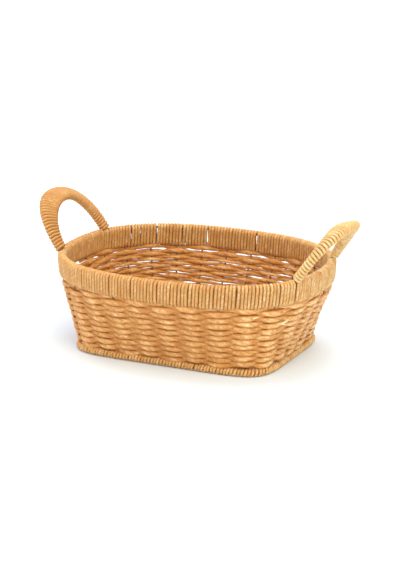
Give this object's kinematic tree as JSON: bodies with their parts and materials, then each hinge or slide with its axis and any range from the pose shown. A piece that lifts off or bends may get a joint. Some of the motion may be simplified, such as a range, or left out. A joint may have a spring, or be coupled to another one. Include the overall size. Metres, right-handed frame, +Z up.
{
  "type": "straw basket",
  "caption": "Oval wire-framed basket randed with twisted straw cord, with a deep wrapped rim, a wrapped foot and two leaning wrapped ear handles.",
  "frame": {"origin": "on the floor, under the middle of the foot", "axes": "+X along the basket, towards one handle; +Y across it; +Z up"},
  "size_m": [0.4186, 0.2732, 0.1816],
  "materials": {
    "woven_straw": "satin twisted straw cord",
    "wrapped_straw": "satin twisted straw cord, wound close",
    "frame_wire": "dark brown paint, satin"
  },
  "bodies": {
    "root": {"top_hoop": "frame_wire", "strainer_hoop": "frame_wire", "foot_hoop": "frame_wire", "cross_wire_1": "frame_wire", "cross_wire_2": "frame_wire", "cross_wire_3": "frame_wire", "cross_wire_4": "frame_wire", "cross_wire_5": "frame_wire", "cross_wire_6": "frame_wire", "cross_wire_7": "frame_wire", "cross_wire_8": "frame_wire", "long_wire_1": "frame_wire", "long_wire_2": "frame_wire", "long_wire_3": "frame_wire", "long_wire_4": "frame_wire", "long_wire_5": "frame_wire", "long_wire_6": "frame_wire", "handle_inner_wire_left": "frame_wire", "handle_outer_wire_left": "frame_wire", "handle_inner_wire_right": "frame_wire", "handle_outer_wire_right": "frame_wire", "base_strand_01": "woven_straw", "base_strand_02": "woven_straw", "base_strand_03": "woven_straw", "base_strand_04": "woven_straw", "base_strand_05": "woven_straw", "base_strand_06": "woven_straw", "base_strand_07": "woven_straw", "base_strand_08": "woven_straw", "base_strand_09": "woven_straw", "base_strand_10": "woven_straw", "base_strand_11": "woven_straw", "base_strand_12": "woven_straw", "base_strand_13": "woven_straw", "base_strand_14": "woven_straw", "base_strand_15": "woven_straw", "base_strand_16": "woven_straw", "base_strand_17": "woven_straw", "base_strand_18": "woven_straw", "base_strand_19": "woven_straw", "base_strand_20": "woven_straw", "base_strand_21": "woven_straw", "base_strand_22": "woven_straw", "base_strand_23": "woven_straw", "base_strand_24": "woven_straw", "weaver_a_1": "woven_straw", "weaver_a_2": "woven_straw", "weaver_a_3": "woven_straw", "weaver_a_4": "woven_straw", "weaver_b_1": "woven_straw", "weaver_b_2": "woven_straw", "weaver_b_3": "woven_straw", "weaver_b_4": "woven_straw", "foot_wrap": "wrapped_straw", "rim_wrap": "wrapped_straw", "handle_winding_left": "wrapped_straw", "handle_winding_right": "wrapped_straw"}
  },
  "joints": []
}
